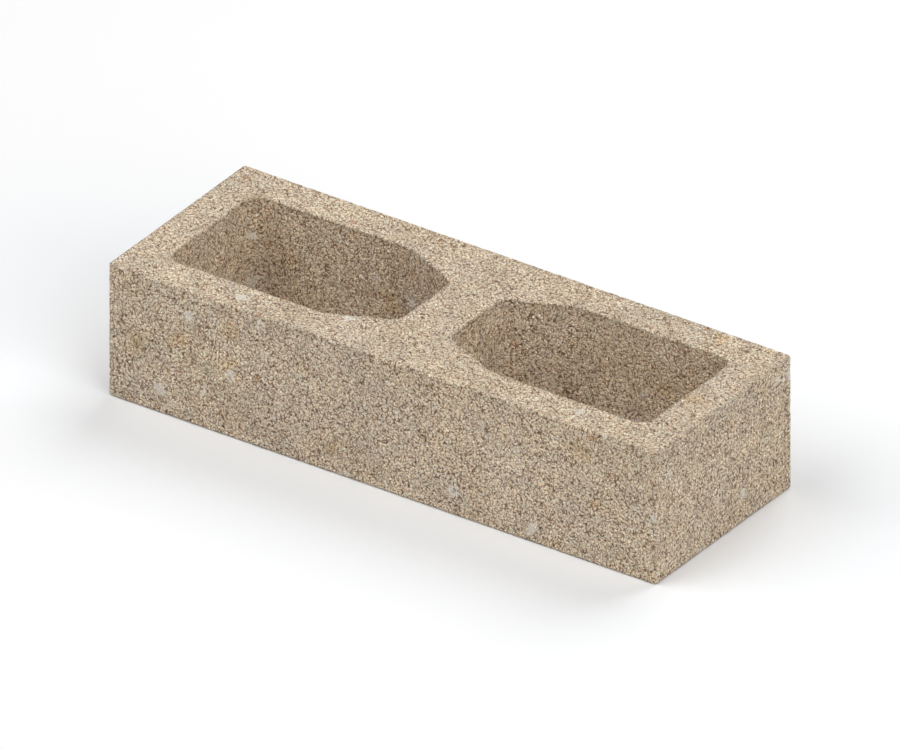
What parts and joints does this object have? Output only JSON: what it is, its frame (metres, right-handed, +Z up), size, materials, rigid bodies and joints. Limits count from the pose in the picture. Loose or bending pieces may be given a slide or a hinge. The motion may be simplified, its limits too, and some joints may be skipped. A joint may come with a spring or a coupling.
{
  "type": "hollow concrete facade block",
  "caption": "Long, low hollow masonry block of dry-pressed concrete, with open cells side by side that run through its height and narrow towards the middle web.",
  "frame": {"origin": "centre of the bottom bed, on the level that the block lies on", "axes": "+X along the length, +Y from the face to the back, +Z up, out of the wide mouths of the cells"},
  "size_m": [0.39, 0.14, 0.09],
  "materials": {
    "concrete": "sandy dry-pressed concrete, matte, open and coarse in the grain"
  },
  "bodies": {
    "root": {"facade_block": "concrete"}
  },
  "joints": []
}
